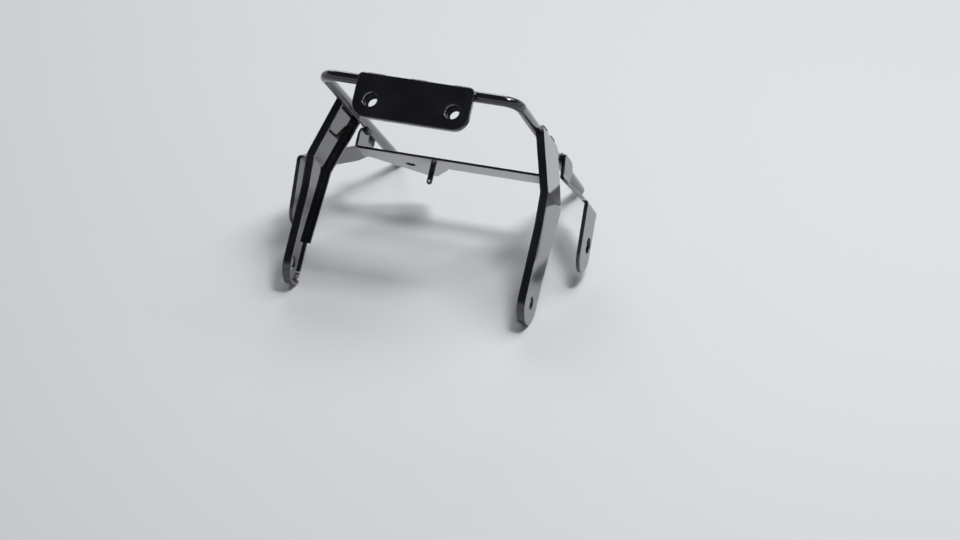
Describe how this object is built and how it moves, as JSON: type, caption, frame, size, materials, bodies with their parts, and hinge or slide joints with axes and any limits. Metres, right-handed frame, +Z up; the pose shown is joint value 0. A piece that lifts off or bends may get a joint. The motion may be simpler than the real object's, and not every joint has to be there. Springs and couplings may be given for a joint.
{
  "type": "light bracket",
  "caption": "Welded black bracket for a motorbike lamp: bent rod with a drilled lamp plate, channel front legs, joggled rear legs and a cross plate.",
  "frame": {"origin": "middle of the footprint box, at the height of the ground under the front feet and the rod's ends", "axes": "+X to the right arm, +Y back from the lamp plate, +Z up as the bracket rests"},
  "size_m": [0.229, 0.2014, 0.17],
  "materials": {
    "black_rod": "gloss black paint over round steel rod",
    "black_plate": "gloss black paint over steel plate",
    "black_sheet": "gloss black paint over pressed steel sheet",
    "black_weld": "gloss black paint over rippled weld beads"
  },
  "bodies": {
    "root": {"top_rod": "black_rod", "lamp_plate": "black_plate", "weld_nuts": "black_rod", "front_leg_left": "black_sheet", "front_leg_right": "black_sheet", "rear_leg_left": "black_plate", "rear_leg_right": "black_plate", "cross_plate": "black_sheet", "cable_peg": "black_rod", "plate_welds": "black_weld", "front_leg_welds": "black_weld", "rear_leg_welds": "black_weld", "cross_plate_welds": "black_weld"}
  },
  "joints": []
}
